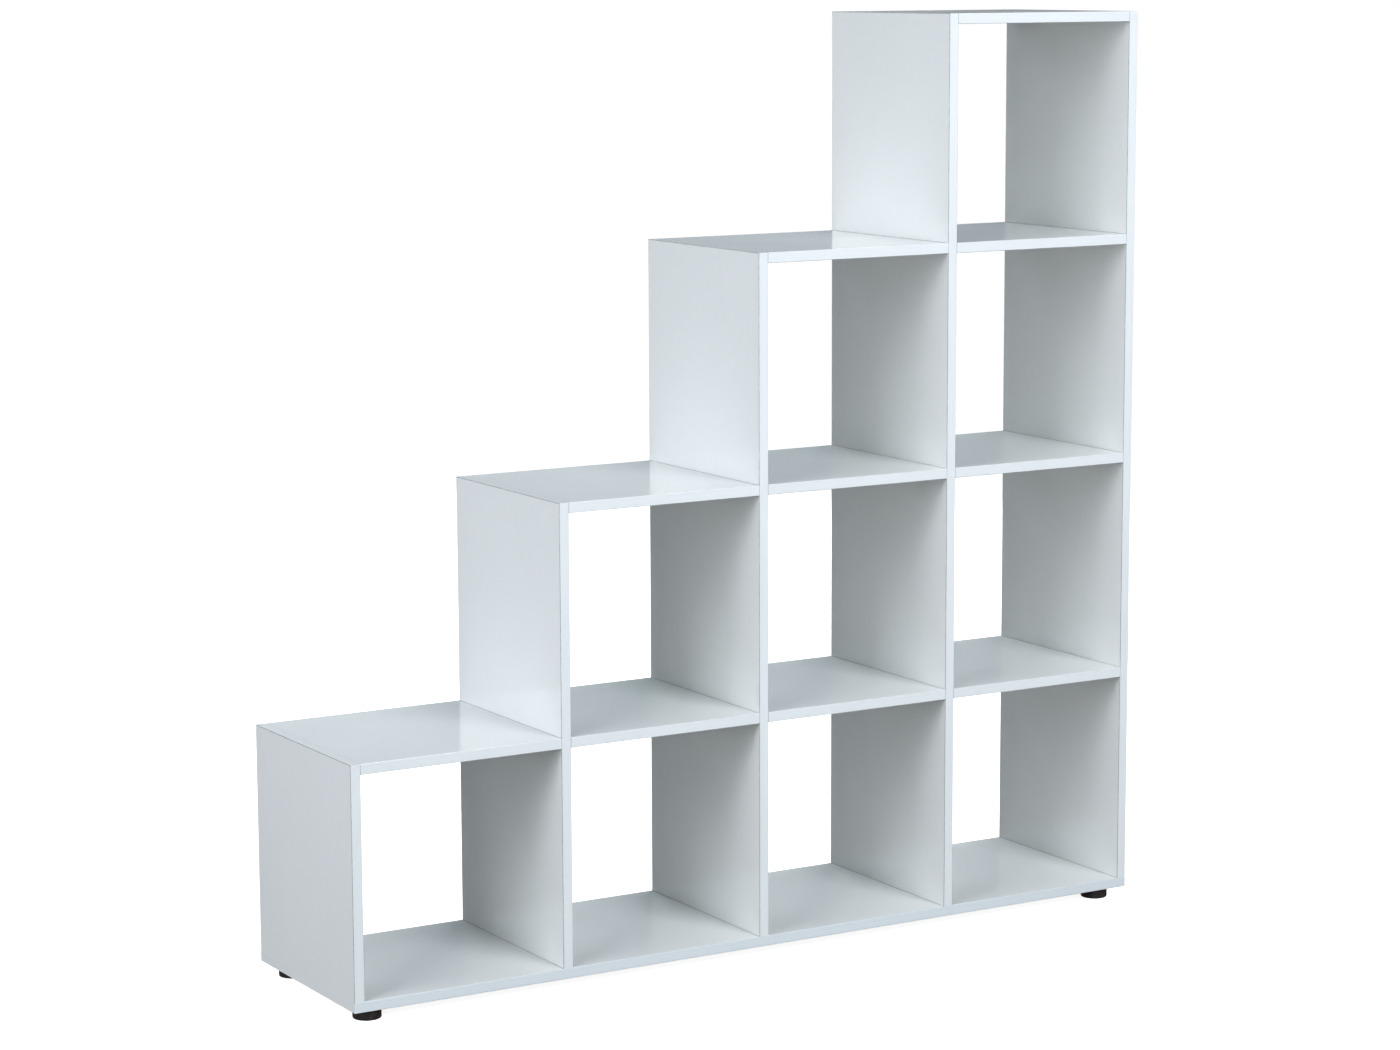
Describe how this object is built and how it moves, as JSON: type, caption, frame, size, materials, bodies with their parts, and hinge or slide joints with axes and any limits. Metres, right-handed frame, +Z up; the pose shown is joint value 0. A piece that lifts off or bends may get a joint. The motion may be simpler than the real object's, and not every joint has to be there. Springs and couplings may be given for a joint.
{
  "type": "staircase bookshelf",
  "caption": "White staircase bookshelf of edge-banded board: open square bays in columns that rise step by step on a base panel with low black glide feet.",
  "frame": {"origin": "on the floor, under the middle of the overall width and depth", "axes": "+X from the lowest column to the tallest, +Y from front to rear, +Z up"},
  "size_m": [1.385, 0.33, 1.433],
  "materials": {
    "white_board": "satin",
    "white_edging": "satin",
    "black_plastic": "satin",
    "cast_zinc": "satin",
    "zinc_plated_steel": "satin",
    "beech": "matte"
  },
  "bodies": {
    "root": {"base_dowels": "beech", "base_panel": "white_board", "base_panel_edging": "white_edging", "base_screws": "zinc_plated_steel", "cam_locks_row1": "cast_zinc", "cam_locks_row2": "cast_zinc", "cam_locks_row3": "cast_zinc", "cam_locks_row4": "cast_zinc", "end_cam_bolts": "zinc_plated_steel", "end_dowels": "beech", "foot_front_left": "black_plastic", "foot_front_right": "black_plastic", "foot_rear_left": "black_plastic", "foot_rear_right": "black_plastic", "foot_screws": "zinc_plated_steel", "shelf_col1_row1": "white_board", "shelf_col1_row1_edging": "white_edging", "shelf_col2_row1": "white_board", "shelf_col2_row1_edging": "white_edging", "shelf_col2_row2": "white_board", "shelf_col2_row2_edging": "white_edging", "shelf_col3_row1": "white_board", "shelf_col3_row1_edging": "white_edging", "shelf_col3_row2": "white_board", "shelf_col3_row2_edging": "white_edging", "shelf_col3_row3": "white_board", "shelf_col3_row3_edging": "white_edging", "shelf_col4_row1": "white_board", "shelf_col4_row1_edging": "white_edging", "shelf_col4_row2": "white_board", "shelf_col4_row2_edging": "white_edging", "shelf_col4_row3": "white_board", "shelf_col4_row3_edging": "white_edging", "shelf_col4_row4": "white_board", "shelf_col4_row4_edging": "white_edging", "through_cam_bolts": "zinc_plated_steel", "through_dowels": "beech", "upright_1": "white_board", "upright_1_edging": "white_edging", "upright_2": "white_board", "upright_2_edging": "white_edging", "upright_3": "white_board", "upright_3_edging": "white_edging", "upright_4": "white_board", "upright_4_edging": "white_edging", "upright_5": "white_board", "upright_5_edging": "white_edging"}
  },
  "joints": []
}
